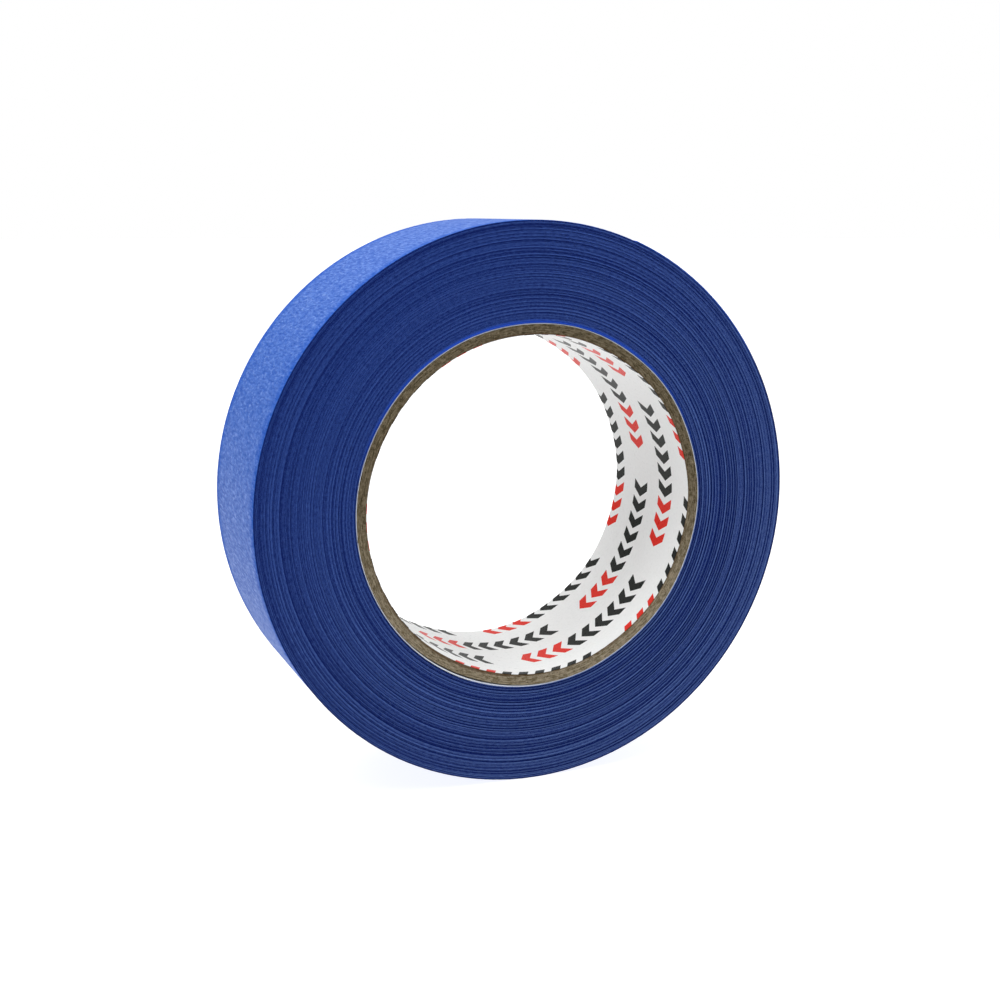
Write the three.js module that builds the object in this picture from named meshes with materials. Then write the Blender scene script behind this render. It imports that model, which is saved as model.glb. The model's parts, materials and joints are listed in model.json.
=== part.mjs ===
// Masking tape roll: crepe paper tape wound on a spiral-wound chipboard core.
// Millimetres, +Z up. The roll stands on its rim: its axis is Y, its centre is the origin, and its front
// side faces -Y. Angles are in degrees round the axis, from +X towards +Z, so they grow anticlockwise seen
// from the front.

import * as THREE from 'three';

const { degToRad, radToDeg } = THREE.MathUtils;

// ---- Driving dimensions ----

const TAPE_WIDTH = 38; // 1 1/2 in
const TAPE_THICKNESS = 0.13; // crepe paper and its adhesive
const ROLL_DIAMETER = 125.2; // across the last turn
const CORE_BORE = 76.2; // 3 in

const LINER_THICKNESS = 0.1; // printed paper inside the core
const PLY_COUNT = 5;
const PLY_THICKNESS = 0.42; // chipboard
const WRAP_THICKNESS = 0.12; // pale paper outside the core
const GLUE_GAP = 0.03; // between one layer and the next

const STRIP_WIDTH = 100; // of the paper and board strips that the core is wound from
const SEAM_GAP = 0.2; // between the edges of a strip's neighbouring turns, measured square to them
const TIP_WIDTH = 0.3; // left on the sharp corners of a strip, measured along Y
const LINER_SEAM_ANGLE = 147; // where the liner's seam crosses y = 0
const SEAM_STEP = 77; // from each layer's seam to the next layer's

const FIRST_TURN_START = 247.5; // where the tape was stuck to the core
const FREE_END_ROOT = 42.5; // where the end of the tape begins to lift
const FREE_END_ARC = 25;
const END_GAP = 0.3; // between the end of a whole turn and the tape that goes on from it

// ---- Facets ----
// Every layer has the same sides, with a flat one at the bottom to stand on. A radius is measured to the
// flats.

const SIDES = 72;
const SIDE_ARC = 360 / SIDES;
const FIRST_CORNER = SIDE_ARC / 2;

// ---- Radii that follow ----

const TAPE_PITCH = TAPE_THICKNESS + GLUE_GAP; // a turn's rise
const PLY_PITCH = PLY_THICKNESS + GLUE_GAP;
const LINER_RADIUS = CORE_BORE / 2; // each of these is the layer's inner radius
const FIRST_PLY_RADIUS = LINER_RADIUS + LINER_THICKNESS + GLUE_GAP;
const WRAP_RADIUS = FIRST_PLY_RADIUS + PLY_COUNT * PLY_PITCH;
const FIRST_TURN_RADIUS = WRAP_RADIUS + WRAP_THICKNESS + GLUE_GAP;
const WINDING_RADIUS = FIRST_TURN_RADIUS + 2 * TAPE_PITCH;
const FREE_END_RADIUS = ROLL_DIAMETER / 2 - TAPE_THICKNESS;
const LAST_TURN_RADIUS = FREE_END_RADIUS - TAPE_PITCH;
const WINDING_OUTER_RADIUS = LAST_TURN_RADIUS - GLUE_GAP;

// ---- Solids ----

// The place of an angle and a radius on the faceted circle, in the XZ plane.
function onFacet(angle, radius) {
  const side = Math.floor((angle - FIRST_CORNER) / SIDE_ARC);
  const middle = FIRST_CORNER + (side + 0.5) * SIDE_ARC;
  const distance = radius / Math.cos(degToRad(angle - middle));
  return [distance * Math.cos(degToRad(angle)), distance * Math.sin(degToRad(angle))];
}

// The facet corners between two angles, in order.
function cornersBetween(startAngle, endAngle) {
  const corners = [];
  const first = Math.floor((startAngle - FIRST_CORNER) / SIDE_ARC) + 1;
  for (let side = first; FIRST_CORNER + side * SIDE_ARC < endAngle; side += 1) {
    corners.push(FIRST_CORNER + side * SIDE_ARC);
  }
  return corners;
}

// One turn of a strip that was wound on a helix and cut off square at both ends of the core. Laid flat it
// is a parallelogram, whose two slanted edges meet again at the seam.
function coreLayer(innerRadius, thickness, seamAngle) {
  const half = TAPE_WIDTH / 2;
  const radius = innerRadius + thickness / 2;
  const stripToAxis = Math.acos(STRIP_WIDTH / (2 * Math.PI * radius));
  const seamSlope = radToDeg(Math.tan(stripToAxis) / radius); // degrees of turn for each mm along Y
  const halfGap = radToDeg(SEAM_GAP / 2 / Math.cos(stripToAxis) / radius);
  const seamAt = (y) => seamAngle + y * seamSlope;
  const topEdge = (angle) => Math.min(half, (angle - halfGap - seamAngle) / seamSlope);
  const bottomEdge = (angle) => Math.max(-half, (angle + halfGap - 360 - seamAngle) / seamSlope);

  const startTip = seamAt(TIP_WIDTH - half) + halfGap;
  const endTip = seamAt(half - TIP_WIDTH) + 360 - halfGap;
  const bends = [seamAt(half) + halfGap, seamAt(-half) + 360 - halfGap]; // where an edge meets the core's end
  const stops = [startTip, ...cornersBetween(startTip, endTip), ...bends, endTip].sort((a, b) => a - b);

  const columns = stops.length - 1;
  const layer = new THREE.BoxGeometry(columns, 1, 1, columns, 1, 1);
  const points = layer.attributes.position;
  for (let i = 0; i < points.count; i += 1) {
    const angle = stops[Math.round(points.getX(i) + columns / 2)];
    const y = points.getY(i) > 0 ? bottomEdge(angle) : topEdge(angle); // crossed over: faces point out
    const [x, z] = onFacet(angle, points.getZ(i) > 0 ? innerRadius + thickness : innerRadius);
    points.setXYZ(i, x, y, z);
  }
  return layer;
}

// An outline in the XZ plane, drawn out to the tape's width.
function tapeWide(outline) {
  const solid = new THREE.ExtrudeGeometry(outline, { depth: TAPE_WIDTH, bevelEnabled: false });
  solid.translate(0, 0, -TAPE_WIDTH / 2);
  solid.rotateX(Math.PI / 2); // the outline's y becomes z
  return solid;
}

// A length of tape on top of the turn before it, so that it rises by TAPE_PITCH for each turn.
function tapeStrip(startRadius, startAngle, arc, endGap) {
  const endAngle = startAngle + arc - radToDeg(endGap / startRadius);
  const angles = [startAngle, ...cornersBetween(startAngle, endAngle), endAngle];
  const edge = (depth) =>
    angles.map((angle) => {
      const rise = (TAPE_PITCH * (angle - startAngle)) / 360;
      return new THREE.Vector2(...onFacet(angle, startRadius + rise + depth));
    });
  return tapeWide(new THREE.Shape([...edge(TAPE_THICKNESS), ...edge(0).reverse()]));
}

// All the turns between the first and the last, as one solid ring.
function winding() {
  const circle = (radius) =>
    cornersBetween(0, 360).map((angle) => new THREE.Vector2(...onFacet(angle, radius)));
  const outline = new THREE.Shape(circle(WINDING_OUTER_RADIUS));
  outline.holes.push(new THREE.Path(circle(WINDING_RADIUS)));
  return tapeWide(outline);
}

// ---- Assembly ----

const PRINTED_PAPER = { color: '#d9dadc', roughness: 0.35 };
const CHIPBOARD = { color: '#6f6751', roughness: 0.95 };
const PALE_PAPER = { color: '#b9bcc4', roughness: 0.8 };
const TAPE_SIDE = { color: '#26397a', roughness: 0.8 };
const TAPE_BACK = { color: '#3f66c4', roughness: 0.7 };

function part(name, geometry, finish) {
  const material = new THREE.MeshStandardMaterial({ ...finish, metalness: 0 });
  const mesh = new THREE.Mesh(geometry, material);
  mesh.name = name;
  return mesh;
}

function core() {
  const group = new THREE.Group();
  const seam = (layer) => LINER_SEAM_ANGLE + layer * SEAM_STEP;
  group.add(part('core_liner', coreLayer(LINER_RADIUS, LINER_THICKNESS, seam(0)), PRINTED_PAPER));
  for (let ply = 1; ply <= PLY_COUNT; ply += 1) {
    const radius = FIRST_PLY_RADIUS + (ply - 1) * PLY_PITCH;
    group.add(part(`core_ply_${ply}`, coreLayer(radius, PLY_THICKNESS, seam(ply)), CHIPBOARD));
  }
  group.add(part('core_wrap', coreLayer(WRAP_RADIUS, WRAP_THICKNESS, seam(PLY_COUNT + 1)), PALE_PAPER));
  return group;
}

function tape() {
  const group = new THREE.Group();
  const firstTurn = tapeStrip(FIRST_TURN_RADIUS, FIRST_TURN_START, 360, END_GAP);
  const lastTurn = tapeStrip(LAST_TURN_RADIUS, FREE_END_ROOT, 360, END_GAP);
  const freeEnd = tapeStrip(FREE_END_RADIUS, FREE_END_ROOT, FREE_END_ARC, 0);
  group.add(part('tape_first_turn', firstTurn, TAPE_SIDE));
  group.add(part('tape_winding', winding(), TAPE_SIDE));
  group.add(part('tape_last_turn', lastTurn, TAPE_BACK));
  group.add(part('tape_free_end', freeEnd, TAPE_BACK));
  return group;
}

const roll = new THREE.Group();
roll.add(core(), tape());

export default roll;
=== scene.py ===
# A roll of blue crepe masking tape on a spiral-wound chipboard core, standing on its rim.
# Metres and radians, +Z up. The roll's axis is Y and its front side faces -Y. Angles are measured round the
# axis from +X towards +Z, so they grow anticlockwise seen from the front, which is how the tape is wound.

import json
from math import atan2, ceil, pi, radians, tau

import bpy
import numpy as np
from mathutils import Euler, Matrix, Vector


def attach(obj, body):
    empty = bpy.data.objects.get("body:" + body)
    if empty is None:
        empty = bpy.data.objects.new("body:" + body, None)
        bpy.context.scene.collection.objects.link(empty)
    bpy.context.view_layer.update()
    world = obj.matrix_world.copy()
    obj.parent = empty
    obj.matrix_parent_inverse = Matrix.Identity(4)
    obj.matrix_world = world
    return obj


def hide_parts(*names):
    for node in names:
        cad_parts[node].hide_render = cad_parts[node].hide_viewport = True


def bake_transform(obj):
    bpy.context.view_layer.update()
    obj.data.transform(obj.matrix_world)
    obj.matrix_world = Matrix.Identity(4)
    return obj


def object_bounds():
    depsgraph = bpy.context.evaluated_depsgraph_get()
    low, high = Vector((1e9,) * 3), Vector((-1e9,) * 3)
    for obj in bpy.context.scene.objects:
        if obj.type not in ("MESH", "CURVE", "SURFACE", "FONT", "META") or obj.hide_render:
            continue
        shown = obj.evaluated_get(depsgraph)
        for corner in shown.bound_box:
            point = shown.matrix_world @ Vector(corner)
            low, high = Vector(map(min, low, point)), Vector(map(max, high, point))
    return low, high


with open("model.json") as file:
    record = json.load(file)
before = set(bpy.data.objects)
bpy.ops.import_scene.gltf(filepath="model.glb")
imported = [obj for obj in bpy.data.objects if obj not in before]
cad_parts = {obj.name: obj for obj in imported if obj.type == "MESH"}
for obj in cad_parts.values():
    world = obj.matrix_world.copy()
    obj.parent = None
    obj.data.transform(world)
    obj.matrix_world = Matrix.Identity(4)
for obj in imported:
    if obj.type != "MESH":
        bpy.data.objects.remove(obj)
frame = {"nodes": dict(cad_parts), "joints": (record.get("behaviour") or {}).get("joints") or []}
cad_low, cad_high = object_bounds()

MM = 0.001
PER_MM = 1000.0

# ---- Camera, light and floor ----

LENS = 54.2  # on a 36 mm sensor
CAMERA_AZIMUTH = radians(-21.5)  # to the left of the roll's axis
CAMERA_DIP = radians(11.0)
CAMERA_OFFSET = Vector((-7.5, 1.8, 331.3)) * MM  # right of, above and away from the front side's centre

BACKDROP = 1.15  # the white behind the roll
ROOM = 0.3  # the room on the camera's side
HORIZON = 0.32  # how bright the room is low down, next to higher up
LIGHT_RAMPS = {  # for each axis: the directions that the light changes between, and its strength at each
    "Y": (-0.6, 0.6, ROOM, BACKDROP),
    "Z": (0.0, 0.35, HORIZON, 1.0),
}

FLOOR_RADIUS = 6.0
FLOOR_SIDES = 96
FLOOR_COLOR = (0.34, 0.34, 0.34, 1.0)
FLOOR_ROUGHNESS = 0.6
FLOOR_GLOW = 0.88
FLOOR_FILL = 0.71  # how much of the glow reaches matt surfaces


def add_camera():
    data = bpy.data.cameras.new("camera")
    data.lens = LENS
    camera = bpy.data.objects.new("camera", data)
    bpy.context.collection.objects.link(camera)
    camera.rotation_euler = Euler((pi / 2 - CAMERA_DIP, 0, CAMERA_AZIMUTH))
    front_centre = Vector((0, cad_low.y, 0))
    camera.location = front_centre + camera.rotation_euler.to_matrix() @ CAMERA_OFFSET
    bpy.context.scene.camera = camera


def add_softbox(name, place, size, power):
    """A square area light that faces the middle of the roll."""
    data = bpy.data.lights.new(name, "AREA")
    data.size = size
    data.energy = power
    lamp = bpy.data.objects.new(name, data)
    bpy.context.collection.objects.link(lamp)
    lamp.location = place
    lamp.rotation_euler = Vector(place).to_track_quat("Z", "Y").to_euler()


def add_world():
    """A white backdrop that the camera always sees, in a room that is dimmer in front of the roll."""
    world = bpy.data.worlds.new("studio")
    world.use_nodes = True
    nodes, link = world.node_tree.nodes, world.node_tree.links.new
    direction = nodes.new("ShaderNodeTexCoord")
    parts = nodes.new("ShaderNodeSeparateXYZ")
    link(direction.outputs["Generated"], parts.inputs[0])
    light = nodes.new("ShaderNodeMath")
    light.operation = "MULTIPLY"
    for number, (axis, settings) in enumerate(LIGHT_RAMPS.items()):
        ramp = nodes.new("ShaderNodeMapRange")
        for name, setting in zip(("From Min", "From Max", "To Min", "To Max"), settings):
            ramp.inputs[name].default_value = setting
        link(parts.outputs[axis], ramp.inputs["Value"])
        link(ramp.outputs[0], light.inputs[number])
    seen = nodes.new("ShaderNodeLightPath")
    strength = nodes.new("ShaderNodeMath")
    strength.operation = "MAXIMUM"
    link(light.outputs[0], strength.inputs[0])
    link(seen.outputs["Is Camera Ray"], strength.inputs[1])
    background = nodes["Background"]
    background.inputs["Color"].default_value = (1, 1, 1, 1)
    link(strength.outputs[0], background.inputs["Strength"])
    bpy.context.scene.world = world


def add_floor():
    """A sheet of white acrylic lit from below."""
    turn = np.linspace(0, tau, FLOOR_SIDES, endpoint=False)
    rim = np.column_stack((np.cos(turn), np.sin(turn), np.zeros(FLOOR_SIDES))) * FLOOR_RADIUS
    mesh = bpy.data.meshes.new("floor")
    mesh.from_pydata(rim.tolist(), [], [list(range(FLOOR_SIDES))])
    floor = bpy.data.objects.new("floor", mesh)
    bpy.context.collection.objects.link(floor)
    floor.location.z = cad_low.z
    material = bpy.data.materials.new("acrylic")
    material.use_nodes = True
    surface = material.node_tree.nodes["Principled BSDF"]
    surface.inputs["Base Color"].default_value = FLOOR_COLOR
    surface.inputs["Roughness"].default_value = FLOOR_ROUGHNESS
    surface.inputs["Emission Color"].default_value = (1, 1, 1, 1)
    glow = material.node_tree.nodes.new("ShaderNodeMapRange")
    glow.inputs["To Min"].default_value = FLOOR_GLOW
    glow.inputs["To Max"].default_value = FLOOR_GLOW * FLOOR_FILL
    path = material.node_tree.nodes.new("ShaderNodeLightPath")
    material.node_tree.links.new(path.outputs["Is Diffuse Ray"], glow.inputs["Value"])
    material.node_tree.links.new(glow.outputs[0], surface.inputs["Emission Strength"])
    mesh.materials.append(material)


# ---- Sizes that the frame gives ----

SIDES = 72  # flat sides to each circle of the CAD model, with one centred on angle 0


def cad_points(node):
    mesh = frame["nodes"][node].data
    points = np.empty(3 * len(mesh.vertices))
    mesh.vertices.foreach_get("co", points)
    return points.reshape(-1, 3)


def angles_of(points):
    return np.arctan2(points[:, 2], points[:, 0])


def radii_of(points):
    """Each point's distance from the axis, measured square to the flat side that it is on."""
    side = tau / SIDES
    off_middle = (angles_of(points) + side / 2) % side - side / 2
    return np.hypot(points[:, 0], points[:, 2]) * np.cos(off_middle)


def inner_and_outer(node):
    radii = radii_of(cad_points(node))
    return radii.min(), radii.max()


def seam_of(node):
    """The angle where a core layer's seam crosses y = 0, and how far round it goes for a metre along Y."""
    points = cad_points(node)
    on_seam = points[np.abs(points[:, 1]) < 0.99 * HALF_WIDTH]
    on_seam = on_seam[np.argsort(on_seam[:, 1])]
    slope, middle = np.polyfit(on_seam[:, 1], np.unwrap(angles_of(on_seam)), 1)
    return middle, slope


HALF_WIDTH = cad_high.y
HINGE = Vector(frame["joints"][0]["pos_m"])
FREE_END_ROOT = atan2(HINGE.z, HINGE.x)
FREE_END_ARC = np.ptp(angles_of(cad_points("tape_free_end")))

first_turn_points = cad_points("tape_first_turn")
FIRST_TURN_RADIUS = radii_of(first_turn_points).min()
FIRST_TURN_START = angles_of(first_turn_points)[np.argmin(radii_of(first_turn_points))]
LAST_TURN_RADIUS = inner_and_outer("tape_last_turn")[0]
FREE_END_RADIUS, OUTER_RADIUS = inner_and_outer("tape_free_end")
TAPE_THICKNESS = 0.13 * MM  # crepe paper and its adhesive

# ---- Curves and noise ----


def hump(x, middle, spread):
    """1 at the middle, and falling smoothly to 0 on both sides."""
    return np.exp(-(((x - middle) / spread) ** 2))


def knots_and_parts(x, count):
    """The random heights on either side of x, as indices, and how far x is between them, eased."""
    whole = np.floor(x).astype(int)
    part = x - whole
    return whole % count, (whole + 1) % count, part * part * (3 - 2 * part)


def wander(x, seed, count=4096):
    """Smooth noise from -1 to 1, with a new random height at each whole number."""
    heights = np.random.default_rng(seed).uniform(-1, 1, count)
    low, high, part = knots_and_parts(x, count)
    return heights[low] * (1 - part) + heights[high] * part


def ripple(a, b, seed, count=1024):
    """Smooth noise from -1 to 1 over two directions."""
    heights = np.random.default_rng(seed).uniform(-1, 1, (count, count))
    a_low, a_high, a_part = knots_and_parts(a, count)
    b_low, b_high, b_part = knots_and_parts(b, count)
    near = heights[a_low, b_low] * (1 - a_part) + heights[a_high, b_low] * a_part
    far = heights[a_low, b_high] * (1 - a_part) + heights[a_high, b_high] * a_part
    return near * (1 - b_part) + far * b_part


# ---- Strips: every layer of the roll is one ----

OUTER, INNER, EDGE = range(3)  # a strip's material slots
SHARP_ANGLE = radians(50)


def section(columns, edge_levels=0):
    """A strip's section as a closed loop of (across, depth) points.

    across runs from -1 at the front to 1 at the back, and depth from 0 inside to 1 outside. The second half
    of the loop mirrors the first, so that the strip's ends can be closed with a ladder of quads.
    """
    spans = 2 * edge_levels + 1
    edge_depths = [0.5 + (level + 0.5) / spans for level in range(edge_levels)]
    half = [(-1, depth) for depth in edge_depths]
    half += [(across, 1) for across in np.linspace(-1, 1, columns)]
    half += [(1, depth) for depth in reversed(edge_depths)]
    mirrored = [(across, 1 - depth) for across, depth in reversed(half)]
    return np.array(half + mirrored)


def face_kinds(loop):
    """The material slot of the faces that run on from each side of the loop."""
    across, depth = loop.T
    along_edge = across == np.roll(across, -1)
    return np.where(along_edge, EDGE, np.where(depth > 0.5, OUTER, INNER))


def strip(name, loop, angle, radius, y, materials):
    """A solid whose section follows the loop at each station. The arrays hold a row for each station."""
    points = np.stack((radius * np.cos(angle), y, radius * np.sin(angle)), axis=-1)
    stations, around = points.shape[:2]
    corner = np.arange(stations - 1)[:, None] * around + np.arange(around)
    beside = np.arange(stations - 1)[:, None] * around + (np.arange(around) + 1) % around
    sides = np.stack((corner, beside, beside + around, corner + around), axis=-1).reshape(-1, 4)
    rung = np.arange(around // 2 - 1)
    end_cap = np.stack((rung, rung + 1, around - 2 - rung, around - 1 - rung), axis=-1)
    faces = np.concatenate((sides, end_cap[:, ::-1], end_cap + (stations - 1) * around))
    kinds = np.concatenate((np.tile(face_kinds(loop), stations - 1), np.full(2 * len(rung), EDGE)))

    mesh = bpy.data.meshes.new(name)
    mesh.from_pydata(points.reshape(-1, 3).tolist(), [], faces.tolist())
    for material in materials:
        mesh.materials.append(material)
    mesh.polygons.foreach_set("material_index", kinds.astype(np.int32))
    mesh.polygons.foreach_set("use_smooth", np.ones(len(faces), dtype=bool))
    mesh.set_sharp_from_angle(angle=SHARP_ANGLE)
    piece = bpy.data.objects.new(name, mesh)
    bpy.context.collection.objects.link(piece)
    return piece


# ---- Core ----

PAPER_SECTION = section(columns=12)
BOARD_SECTION = section(columns=4, edge_levels=1)
CORE_LAYERS = {  # material slot and section, from the inside out
    "core_liner": ("printed_paper", PAPER_SECTION),
    **{f"core_ply_{number}": ("chipboard", BOARD_SECTION) for number in range(1, 6)},
    "core_wrap": ("pale_paper", PAPER_SECTION),
}
CORE_INNER = inner_and_outer("core_liner")[0]
CORE_OUTER = inner_and_outer("core_wrap")[1]
CORE_STEP = 0.35 * MM  # between stations, round the core
SEAM_HALF_GAP = 0.24 * MM  # round the core
CORE_PROUD = 0.25 * MM  # how far the core stands out at the front
CORE_SLANT = 0.45 * MM  # how much further the core's outer plies stand out than its inner ones
PLY_STAGGER = 0.05 * MM  # how far a ply's end strays from its neighbours'
STAGGER_ARC = 1 / 3  # from one random place to the next, round the core
BOARD_ROUGHNESS = 0.045 * MM
BOARD_GRAIN = 0.3 * MM
GRAINS_THROUGH = 3  # from a ply's inside to its outside
GRAINS_TO_MIDDLE = 7  # from the front to the middle, so that the back isn't a copy of the front

DENT_ANGLE = radians(248)  # where the core is pushed in, away from the tape
DENT_SPREAD = radians(24)
DENT_DEPTH = 0.5 * MM
WRAP_TORN = 0.35  # how much of the gap that the dent opens is filled by the paper left on the tape
CORE_WOBBLE = 0.12 * MM
WOBBLE_KNOTS = 19


def dent(angle):
    """How far the core is pushed in."""
    off = (angle - DENT_ANGLE + pi) % tau - pi
    return DENT_DEPTH * hump(off, 0, DENT_SPREAD)


def wobble(angle):
    """How far the core is out of round."""
    return CORE_WOBBLE * wander(angle / tau * WOBBLE_KNOTS, seed=10, count=WOBBLE_KNOTS)


def core_layer(node, number, loop, finish):
    """One turn of a strip that was wound on a helix and cut off square at both ends of the core."""
    inner, outer = inner_and_outer(node)
    seam, slope = seam_of(node)
    half_gap = SEAM_HALF_GAP / inner
    start = seam - HALF_WIDTH * slope + half_gap
    end = seam + HALF_WIDTH * slope + tau - half_gap
    stations = ceil((end - start) * inner / CORE_STEP)
    angle = np.linspace(start, end, stations)[:, None]
    across, depth = loop.T
    dented = WRAP_TORN * (1 - depth) if node == "core_wrap" else 1
    radius = inner + (outer - inner) * depth + wobble(angle) - dented * dent(angle)

    grain_place = GRAINS_THROUGH * depth + GRAINS_TO_MIDDLE * across
    grain = BOARD_ROUGHNESS * ripple(angle * inner / BOARD_GRAIN, grain_place, seed=number)
    stagger = PLY_STAGGER * wander(angle / STAGGER_ARC, seed=20 + number)
    slant = CORE_SLANT * (CORE_OUTER - radius) / (CORE_OUTER - CORE_INNER)
    front = -HALF_WIDTH - CORE_PROUD + slant + grain + stagger
    back = HALF_WIDTH - CORE_PROUD - slant + grain + stagger
    front = np.maximum(front, (angle + half_gap - tau - seam) / slope)
    back = np.minimum(back, (angle - half_gap - seam) / slope)
    y = front + (back - front) * (across + 1) / 2
    return strip(node + "_look", loop, angle, radius, y, [finish, finish, finish])


def add_core(finishes):
    for number, (node, (slot, loop)) in enumerate(CORE_LAYERS.items()):
        piece = core_layer(node, number, loop, finishes[slot])
        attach(piece, "roll")
        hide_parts(node)


# ---- Tape ----
# It is one strip from the core to the free end. A place along it is given in turns from its start.

TURNS_TO_LAST = round((LAST_TURN_RADIUS - FIRST_TURN_RADIUS) / TAPE_THICKNESS)
TURNS_TO_LAST += ((FREE_END_ROOT - FIRST_TURN_START) / tau) % 1 - 1
LAST_TURN_END = TURNS_TO_LAST + 1
FREE_END_TURNS = FREE_END_ARC / tau
FREE_END_TIP = LAST_TURN_END + FREE_END_TURNS
WOUND_PITCH = (LAST_TURN_RADIUS - FIRST_TURN_RADIUS) / TURNS_TO_LAST
WOUND_THICKNESS = 0.9 * WOUND_PITCH  # the rest is a gap between the turns

FIRST_TURN_STATIONS = 576  # to a turn
WOUND_STATIONS = 144
FINE_STATIONS = 1500
PLAIN_SECTION = section(columns=2)
LAST_TURN_SECTION = section(columns=26)
FREE_END_SECTION = section(columns=90)
WOUND = (WOUND_THICKNESS, "wound_tape")
BARE = (TAPE_THICKNESS, "crepe_backing")
TAPE_PIECES = {  # start, end, stations to a turn, section, thickness and material slot
    "tape_first_turn": (0, 1, FIRST_TURN_STATIONS, PLAIN_SECTION, *WOUND),
    "tape_winding": (1, TURNS_TO_LAST, WOUND_STATIONS, PLAIN_SECTION, *WOUND),
    "tape_last_turn": (TURNS_TO_LAST, LAST_TURN_END, FINE_STATIONS, LAST_TURN_SECTION, *BARE),
    "tape_free_end": (LAST_TURN_END, FREE_END_TIP, FINE_STATIONS, FREE_END_SECTION, *BARE),
}

DRIFT_SHIFT = 0.02 * MM
DRIFT_TURNS = 14
JITTER = 0.010 * MM
JITTERS_TO_TURN = 1.7
CORE_RAMP = 0.45 * MM  # how far the first turns stand out with the core
CORE_RAMP_TURNS = 4
CALM_TURNS = 40  # the core's shape fades over this many turns
SIDES_DIFFER = 0.6  # how much noise differs from one side of the roll to the other

LINE_TURNS = 5.3  # from one line on the side of the roll to the next
LINE_SHIFT = 0.12 * MM
LINE_SIDE = radians(-45)  # the side of the roll where the lines are strongest, in relief and in their painted shade and light
LINE_BACK, LINE_BACK_SPREAD = 0.36, 0.12  # where the tape stands back, in the lines' spacing
LINE_OUT, LINE_OUT_SPREAD = 0.61, 0.14  # and where it stands out
LINE_STRAY, STRAY_TURNS = 0.35, 23  # how far the lines stray from even spacing, slowly
LINE_SHAKE, SHAKE_TURNS = 0.2, 3.7  # and quickly
LINE_STRENGTH, STRENGTH_SPREAD, STRENGTH_TURNS = 0.75, 0.6, 5
FAINTEST_LINE, STRONGEST_LINE = 0.15, 1
SIDE_STRENGTH, SIDE_SWING = 0.8, 0.4
LINE_FUZZ, FUZZ_TURNS = 0.3, 1.9

EDGE_TONE = 0.3  # of the side of the roll, from its dark colour at 0 to its pale colour at 1
LINE_TONE = 0.8  # what the lines add to it: painted shade where a turn stands back and painted light where one stands out
TURN_TONE = 0.15  # what differs from turn to turn
LONG_ARC_TONE, LONG_ARCS_TO_TURN = 0.072, 6.3  # what differs along a turn
SHORT_ARC_TONE, SHORT_ARCS_TO_TURN = 0.048, 31
OUTER_BANDS = (  # turns from the outside, spread, what it adds to the tone, and how that varies by side: painted shadow on the last turns, painted light on a band inside them
    (1, 2, -0.5, 0.12),
    (5.5, 1.2, 0.4, 0),
    (7, 2.5, 0, 0.4),
)

TIP_LIFT = 0.9 * MM
TEAR_DEPTH = 0.35 * MM
TEARS, FINE_TEARS = 9, 31  # random places in half the tape's width
FINE_TEAR = 0.6
TEAR_FADE = 8  # how soon the tear's shape fades from the tip, as a power
CREPE_DEPTH = 0.05 * MM
CREPE_WIDTH = 0.6 * MM
CREPE_LENGTH = 3.0 * MM
FINE_CREPE = 0.34  # how much of the depth belongs to finer folds
FINER_ALONG, FINER_ACROSS = 2.3, 1.7  # how many times finer these are


def tape_angle(turns):
    return FIRST_TURN_START + tau * turns


def tape_radius(turns):
    """The distance from the axis to the tape's inner face."""
    wound = FIRST_TURN_RADIUS + WOUND_PITCH * np.minimum(turns, TURNS_TO_LAST)
    return wound + (FREE_END_RADIUS - LAST_TURN_RADIUS) * np.maximum(turns - TURNS_TO_LAST, 0)


def round_the_roll(turns, spacing, seed):
    """Noise along the tape that differs from one side of the roll to the other."""
    x = turns / spacing
    angle = tau * turns
    swing = wander(x, seed + 1) * np.cos(angle) + wander(x, seed + 2) * np.sin(angle)
    return wander(x, seed) + SIDES_DIFFER * swing


def line_side(turns):
    """1 on the side of the roll where the lines are strongest, and -1 opposite."""
    return np.cos(tape_angle(turns) - LINE_SIDE)


def tape_lines(turns):
    """The lines on the roll's sides: -1 where a turn stands back, and 1 where one stands out beside it."""
    stray = LINE_STRAY * round_the_roll(turns, STRAY_TURNS, seed=30)
    shake = LINE_SHAKE * wander(turns / SHAKE_TURNS, seed=24)
    place = (turns / LINE_TURNS + stray + shake) % 1
    pair = hump(place, LINE_OUT, LINE_OUT_SPREAD) - hump(place, LINE_BACK, LINE_BACK_SPREAD)
    strength = LINE_STRENGTH + STRENGTH_SPREAD * round_the_roll(turns, STRENGTH_TURNS, seed=34)
    strength = np.clip(strength, FAINTEST_LINE, STRONGEST_LINE)
    strength = strength * (SIDE_STRENGTH + SIDE_SWING * line_side(turns))
    return strength * (pair + LINE_FUZZ * wander(turns / FUZZ_TURNS, seed=25))


def tape_shift(turns):
    """How far the tape stands off towards the back."""
    drift = DRIFT_SHIFT * round_the_roll(turns, DRIFT_TURNS, seed=40)
    ramp = -CORE_RAMP * np.exp(-turns / CORE_RAMP_TURNS)
    return drift + ramp - LINE_SHIFT * tape_lines(turns)


def outermost_tone(turns):
    """What the last turns add to the tone: the very last are darker, a painted shadow, and a band below them
    is paler, painted light.
    """
    added = 0
    for place, spread, tone, by_side in OUTER_BANDS:
        added = added + (tone + by_side * line_side(turns)) * hump(LAST_TURN_END - turns, place, spread)
    return added


def tape_tone(turns):
    """How pale the tape's edge is, from 0 to 1, with painted shade and light from the lines and the
    outermost turns.
    """
    arcs = LONG_ARC_TONE * wander(turns * LONG_ARCS_TO_TURN, seed=52)
    arcs = arcs + SHORT_ARC_TONE * wander(turns * SHORT_ARCS_TO_TURN, seed=53)
    even = EDGE_TONE + TURN_TONE * wander(turns, seed=51)
    return even + LINE_TONE * tape_lines(turns) + arcs + outermost_tone(turns)


def free_end_lift(part, across):
    """How far the free end stands off the turn below, most at the back corner of its tip."""
    return TIP_LIFT * part**3 * (0.5 + 0.5 * across)


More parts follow.
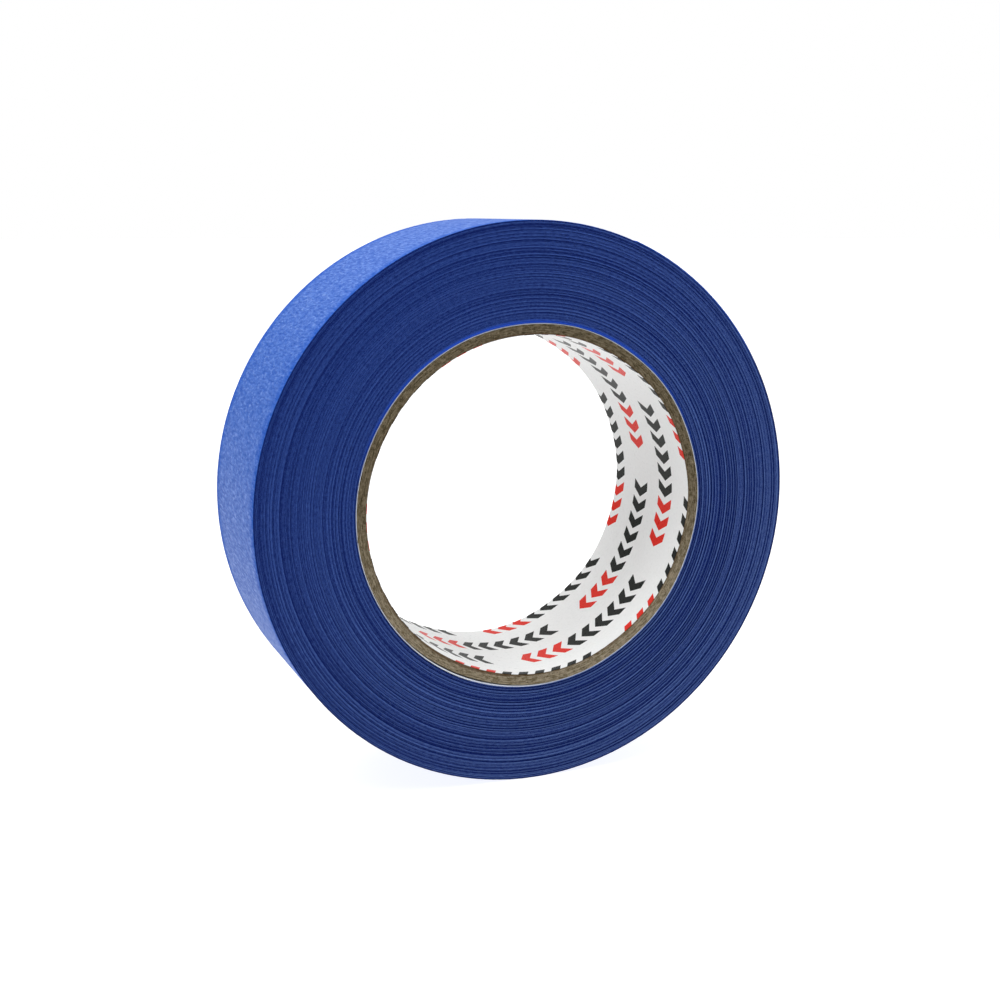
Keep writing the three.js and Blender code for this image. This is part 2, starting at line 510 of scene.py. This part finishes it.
def ragged_tip(part, across):
    """How much further round the roll the tape's fibres reach where it was torn off."""
    tear = wander((across + 1) * TEARS, seed=70) + FINE_TEAR * wander((across + 1) * FINE_TEARS, seed=71)
    return TEAR_DEPTH / OUTER_RADIUS * tear * part**TEAR_FADE


def crepe_folds(turns, y):
    """How far the folds of the paper lie below its highest places."""
    along, across = tau * turns * OUTER_RADIUS / CREPE_WIDTH, y / CREPE_LENGTH
    folds = (1 - FINE_CREPE) * ripple(along, across, seed=60)
    folds = folds + FINE_CREPE * ripple(FINER_ALONG * along, FINER_ACROSS * across, seed=61)
    return CREPE_DEPTH * (1 + folds) / 2


def tape_strip(name, turns, loop, thickness, materials):
    """A length of the tape from one place along it to another."""
    across, depth = loop.T
    turns = turns[:, None]
    free_end_part = np.clip((turns - LAST_TURN_END) / FREE_END_TURNS, 0, 1)
    y = HALF_WIDTH * across + tape_shift(turns + depth) + JITTER * wander(turns * JITTERS_TO_TURN, seed=50)
    radius = tape_radius(turns) + thickness * depth + wobble(tape_angle(turns)) * np.exp(-turns / CALM_TURNS)
    radius = radius + free_end_lift(free_end_part, across)
    if len(loop) > len(PLAIN_SECTION):  # fine enough to show the folds
        radius = radius - crepe_folds(turns, y) * depth
    angle = tape_angle(turns) + ragged_tip(free_end_part, across)
    piece = strip(name, loop, angle, radius, y, materials)
    tone = piece.data.attributes.new("tone", "FLOAT", "POINT")
    tone.data.foreach_set("value", np.broadcast_to(tape_tone(turns), y.shape).ravel())
    return piece


def add_tape(backing, adhesive, edge):
    for node, (start, end, per_turn, loop, thickness, slot) in TAPE_PIECES.items():
        turns = np.linspace(start, end, ceil((end - start) * per_turn) + 1)
        piece = tape_strip(node + "_look", turns, loop, thickness, [backing, adhesive, edge])
        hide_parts(node)
        if node == "tape_free_end":
            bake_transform(piece)
        else:
            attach(piece, "roll")


# ---- Materials ----

SOLID_IOR = 1.5
PAPER_IOR = 1.2  # loose fibre with air in it shines less than solid matter
CREPE_IOR = 1.17
LINER_IOR = 1.12


def colour(red, green, blue):
    return (red, green, blue, 1.0)


class Finish:
    """A material's node tree, whose nodes are added by short calls."""

    def __init__(self, name):
        self.material = bpy.data.materials.new(name)
        self.material.use_nodes = True
        self.tree = self.material.node_tree
        self.place = self.node("TexCoord").outputs["Object"]
        parts = self.node("SeparateXYZ", {"Vector": self.place}).outputs
        self.x, self.y, self.z = parts["X"], parts["Y"], parts["Z"]

    def node(self, kind, inputs=(), **settings):
        new = self.tree.nodes.new("ShaderNode" + kind)
        for key, value in settings.items():
            setattr(new, key, value)
        for key, value in dict(inputs).items():
            self.set(new.inputs[key], value)
        return new

    def set(self, socket, value):
        if isinstance(value, bpy.types.NodeSocket):
            self.tree.links.new(value, socket)
        else:
            socket.default_value = value

    def math(self, operation, *values):
        return self.node("Math", dict(enumerate(values)), operation=operation).outputs[0]

    def add(self, first, second):
        return self.math("ADD", first, second)

    def times(self, first, second):
        return self.math("MULTIPLY", first, second)

    def times_add(self, first, second, third):
        return self.math("MULTIPLY_ADD", first, second, third)

    def ranged(self, value, low, high, out_low=0.0, out_high=1.0):
        inputs = {"Value": value, "From Min": low, "From Max": high, "To Min": out_low, "To Max": out_high}
        return self.node("MapRange", inputs).outputs[0]

    def spread(self, noise, low, high):
        """The values that a noise usually has, spread from low to high."""
        return self.ranged(noise, 0.3, 0.7, low, high)

    def mix(self, factor, low, high):
        """A mix of two colours. Sockets of this node share names, so they are found by identifier."""
        new = self.node("Mix", data_type="RGBA")
        for key, value in (("Factor_Float", factor), ("A_Color", low), ("B_Color", high)):
            self.set(next(s for s in new.inputs if s.identifier == key), value)
        return next(s for s in new.outputs if s.identifier == "Result_Color")

    def scaled(self, round_roll, along_axis):
        """The place on the object, with X and Z multiplied by one factor and Y by another."""
        factors = (round_roll, along_axis, round_roll)
        return self.node("VectorMath", {0: self.place, 1: factors}, operation="MULTIPLY").outputs[0]

    def distance(self):
        """The distance from the roll's axis."""
        return self.node("VectorMath", {0: self.scaled(1, 0)}, operation="LENGTH").outputs["Value"]

    def noise(self, vector, detail, roughness):
        inputs = {"Vector": vector, "Scale": 1.0, "Detail": detail, "Roughness": roughness}
        return self.node("TexNoise", inputs).outputs[0]

    def grain(self, round_roll, along_axis, detail=2.0, roughness=0.5):
        """Noise with so many grains to the millimetre round the roll, and so many along its axis."""
        return self.noise(self.scaled(round_roll * PER_MM, along_axis * PER_MM), detail, roughness)

    def end_grain(self, round_roll, outward, detail=2.0, roughness=0.5):
        """Noise for the roll's ends, with so many grains to the millimetre round the rim, and outwards."""
        angle = self.math("ARCTAN2", self.z, self.x)
        arc = self.times(angle, round_roll * PER_MM * OUTER_RADIUS)
        vector = self.node("CombineXYZ", {"X": arc, "Y": self.times(self.distance(), outward * PER_MM)})
        return self.noise(vector.outputs[0], detail, roughness)

    def made_of(self, base, roughness, relief, depth, ior=SOLID_IOR):
        """The material, once its surface has these looks and a relief of the given depth."""
        surface = self.tree.nodes["Principled BSDF"]
        bump = self.node("Bump", {"Height": relief, "Distance": depth, "Strength": 1.0})
        looks = {"Base Color": base, "Roughness": roughness, "IOR": ior, "Normal": bump.outputs[0]}
        for key, value in looks.items():
            self.set(surface.inputs[key], value)
        return self.material


SLIT_EDGE = 4 * MM  # how far in from its slit edges the backing is deeper in colour and more matt; the deeper colour is painted shade, where the rolled slit edge catches less sheen


def crepe_backing():
    """Dyed crepe paper, whose fine folds run across the tape, painted darker in their valleys and paler on
    their ridges, with pale flecks that are painted glints.
    """
    finish = Finish("crepe_backing")
    valley, ridge = colour(0.002, 0.072, 0.42), colour(0.046, 0.158, 0.575)
    pale, edge_shade_colour = colour(0.16, 0.29, 0.70), colour(0.001, 0.070, 0.46)
    folds = finish.grain(1.7, 0.4, detail=3.0)
    # Painted shade and light: the folds are painted darker in their valleys and paler on their ridges.
    height = finish.times_add(finish.grain(4.0, 1.2), 0.4, folds)
    base = finish.mix(finish.ranged(height, 0.5, 0.9), valley, ridge)
    # Painted glints: the pale flecks stand for light caught by the folds' facets.
    fleck = finish.grain(1.5, 0.55, detail=1.0)
    base = finish.mix(finish.ranged(fleck, 0.56, 0.72, 0.0, 0.6), base, pale)
    # Painted shade: the backing is painted a deeper blue towards its slit edges.
    off_middle = finish.math("ABSOLUTE", finish.y)
    by_edge = finish.ranged(off_middle, HALF_WIDTH - SLIT_EDGE, HALF_WIDTH, 0.0, 0.6)
    base = finish.mix(by_edge, base, edge_shade_colour)
    roughness = finish.times_add(by_edge, 0.45, finish.spread(folds, 0.52, 0.38))
    return finish.made_of(base, roughness, relief=height, depth=0.24 * MM, ior=CREPE_IOR)


def adhesive():
    """The tape's sticky side: paper soaked by adhesive, which shows the folds and its own uneven film."""
    finish = Finish("adhesive")
    bare, coated = colour(0.045, 0.125, 0.44), colour(0.14, 0.26, 0.62)
    film = finish.grain(0.6, 0.6, detail=3.0)
    height = finish.add(film, finish.grain(1.5, 0.35, detail=3.0))
    base = finish.mix(finish.ranged(height, 0.75, 1.25), bare, coated)
    return finish.made_of(base, finish.spread(film, 0.25, 0.4), relief=height, depth=0.06 * MM)


def wound_edge():
    """The side of the roll: the slit edges of many turns, whose tone comes with the mesh, and fine fibre.

    It is painted paler towards the lower right, a painted sheen where the light catches the turns' edges.
    The first turns on the core have a painted highlight along their top, and the outermost turn one along
    its upper right.
    """
    finish = Finish("wound_edge")
    dark = colour(0.001, 0.012, 0.122)
    plain_edge_colour, painted_sheen_colour = colour(0.046, 0.108, 0.42), colour(0.105, 0.178, 0.45)
    painted_core_highlight, painted_rim_highlight = colour(0.018, 0.075, 0.50), colour(0.035, 0.125, 0.58)
    streaks = finish.end_grain(0.9, 4.5)
    fibre = finish.grain(5.0, 5.0)
    grain = finish.add(finish.spread(streaks, -0.24, 0.24), finish.spread(fibre, -0.18, 0.18))
    # The tone from the mesh carries painted shade and light: darker where a turn stands back or lies
    # outermost, paler where one stands out.
    tone = finish.node("Attribute", attribute_name="tone").outputs["Fac"]
    # Painted sheen: the side is painted paler towards the lower right, where the light catches the turns'
    # edges.
    lower_right = finish.math("SUBTRACT", finish.x, finish.z)
    painted_sheen_mask = finish.ranged(lower_right, -1.2 * OUTER_RADIUS, 1.2 * OUTER_RADIUS)
    base = finish.mix(finish.add(tone, grain), dark, finish.mix(painted_sheen_mask, plain_edge_colour, painted_sheen_colour))

    # Painted highlight: the first turns are painted brighter along the top of the core, where they catch the
    # light from above.
    by_core = finish.ranged(finish.distance(), FIRST_TURN_RADIUS + 0.85 * MM, FIRST_TURN_RADIUS + 0.4 * MM)
    upper = finish.ranged(finish.z, 0.2 * FIRST_TURN_RADIUS, 0.8 * FIRST_TURN_RADIUS)
    base = finish.mix(finish.times(by_core, upper), base, painted_core_highlight)
    # Painted highlight: the outermost turn is painted brighter along the roll's upper right.
    by_rim = finish.ranged(finish.distance(), OUTER_RADIUS - 0.32 * MM, OUTER_RADIUS - 0.22 * MM)
    to_upper_right = finish.times_add(finish.x, 0.5, finish.z)
    upper_right = finish.ranged(to_upper_right, 0.9 * OUTER_RADIUS, 0.98 * OUTER_RADIUS)
    base = finish.mix(finish.times(by_rim, upper_right), base, painted_rim_highlight)
    relief = finish.add(fibre, streaks)
    roughness = finish.spread(fibre, 0.75, 0.6)
    return finish.made_of(base, roughness, relief, depth=0.04 * MM, ior=PAPER_IOR)


def board():
    """Grey-brown recycled board with dark and pale flecks, painted darker at the top and paler at the
    bottom, and darker brown towards the bore, as painted shade at its inner edge.
    """
    finish = Finish("board")
    # Painted shade and light: the top of the core's end is painted darker and its bottom paler.
    shaded_top_dark, shaded_top_pale = colour(0.070, 0.054, 0.027), colour(0.220, 0.178, 0.115)
    lit_bottom_dark, lit_bottom_pale = colour(0.150, 0.117, 0.066), colour(0.390, 0.330, 0.235)
    dark_fleck, pale_fleck = colour(0.035, 0.028, 0.016), colour(0.42, 0.35, 0.22)
    brown = colour(0.085, 0.042, 0.018)
    cloud = finish.grain(1.1, 1.1, detail=4.0, roughness=0.65)
    fibre = finish.end_grain(0.35, 3.2, detail=3.0, roughness=0.6)
    fleck = finish.grain(3.0, 3.0, detail=3.0)
    patch = finish.ranged(finish.times_add(cloud, 0.6, fibre), 0.66, 0.94)
    upper = finish.mix(patch, shaded_top_dark, shaded_top_pale)
    lower = finish.mix(patch, lit_bottom_dark, lit_bottom_pale)
    base = finish.mix(finish.ranged(finish.z, 0.1 * CORE_OUTER, -0.6 * CORE_OUTER), upper, lower)
    base = finish.mix(finish.ranged(fleck, 0.60, 0.70, 0.0, 0.8), base, dark_fleck)
    base = finish.mix(finish.ranged(fleck, 0.40, 0.30, 0.0, 0.5), base, pale_fleck)
    # Painted shade: the board is painted darker brown towards the bore, at its inner edge.
    ragged = finish.times_add(fleck, 0.6 * MM, finish.distance())
    at_bore = finish.ranged(ragged, CORE_INNER + 0.45 * MM, CORE_INNER + 0.75 * MM, 0.7, 0.0)
    base = finish.mix(at_bore, base, brown)
    relief = finish.add(fibre, fleck)
    roughness = finish.spread(fleck, 0.95, 0.85)
    return finish.made_of(base, roughness, relief, depth=0.12 * MM, ior=PAPER_IOR)


def pale_paper():
    """Thin bluish white paper, as it is on the outside of the core."""
    finish = Finish("pale_paper")
    fibre = finish.grain(3.0, 3.0, detail=3.0)
    base = finish.mix(fibre, colour(0.66, 0.70, 0.82), colour(0.80, 0.84, 0.92))
    return finish.made_of(base, finish.spread(fibre, 0.85, 0.75), relief=fibre, depth=0.02 * MM)


PRINT_STEP = 4.0 * MM  # from one chevron to the next
PRINT_REPEAT = 11  # chevrons' places in a repeat
RED_CHEVRONS = 3
ALL_CHEVRONS = 9
ROW_STEP = 12.5 * MM
FIRST_ROW_DEPTH = -1.4 * MM  # of the first row's middle, from the front edge
CHEVRON_HALF_HEIGHT = 3.3 * MM
CHEVRON_LEAN = 0.55
CHEVRON_FILL = 0.56
PRINT_START = radians(-58.5)


def along_print(finish):
    """How far along the liner's strip a place is, counted in chevrons."""
    seam, slope = seam_of("core_liner")
    angle = finish.math("ARCTAN2", finish.z, finish.x)
    seam_angle = finish.times_add(finish.y, slope, seam)
    past_seam = finish.math("WRAP", finish.math("SUBTRACT", angle, seam_angle), tau, 0.0)
    return finish.times(finish.add(past_seam, seam_angle), CORE_INNER / PRINT_STEP)


def chevrons(finish):
    """Staggered rows of chevrons that point along the tape: where there is ink, and where it is red."""
    row_place = finish.times_add(finish.y, 1 / ROW_STEP, (HALF_WIDTH - FIRST_ROW_DEPTH) / ROW_STEP)
    row = finish.math("ROUND", row_place)
    off_row = finish.math("ABSOLUTE", finish.math("SUBTRACT", row_place, row))
    stagger = finish.times(row, PRINT_REPEAT / 2)
    start = PRINT_REPEAT / 2 - PRINT_START * CORE_INNER / PRINT_STEP
    place = finish.add(finish.add(along_print(finish), stagger), start)
    place = finish.math("SUBTRACT", place, finish.times(off_row, CHEVRON_LEAN * ROW_STEP / PRINT_STEP))
    in_repeat = finish.math("WRAP", place, PRINT_REPEAT, 0.0)

    in_row = finish.math("LESS_THAN", off_row, CHEVRON_HALF_HEIGHT / ROW_STEP)
    in_chevron = finish.math("LESS_THAN", finish.math("FRACT", in_repeat), CHEVRON_FILL)
    in_mark = finish.math("LESS_THAN", in_repeat, ALL_CHEVRONS)
    is_red = finish.math("LESS_THAN", in_repeat, RED_CHEVRONS)
    return finish.times(finish.times(in_row, in_chevron), in_mark), is_red


def printed_paper():
    """White coated paper, printed with red and black chevrons."""
    finish = Finish("printed_paper")
    ink, is_red = chevrons(finish)
    fibre = finish.grain(1.5, 1.5, detail=4.0, roughness=0.6)
    paper = finish.mix(fibre, colour(0.79, 0.805, 0.80), colour(0.89, 0.905, 0.90))
    red = finish.mix(fibre, colour(0.62, 0.015, 0.008), colour(0.78, 0.035, 0.020))
    black = finish.mix(fibre, colour(0.006, 0.008, 0.007), colour(0.020, 0.022, 0.019))
    base = finish.mix(ink, paper, finish.mix(is_red, black, red))
    roughness = finish.spread(fibre, 0.25, 0.38)
    return finish.made_of(base, roughness, relief=fibre, depth=0.01 * MM, ior=LINER_IOR)


# ---- The scene ----

bpy.context.scene.view_settings.view_transform = "Standard"
add_camera()
add_world()
add_floor()
add_softbox("key", place=(-0.1, -0.15, 0.85), size=0.9, power=7.5)

add_core({"printed_paper": printed_paper(), "chipboard": board(), "pale_paper": pale_paper()})
add_tape(backing=crepe_backing(), adhesive=adhesive(), edge=wound_edge())
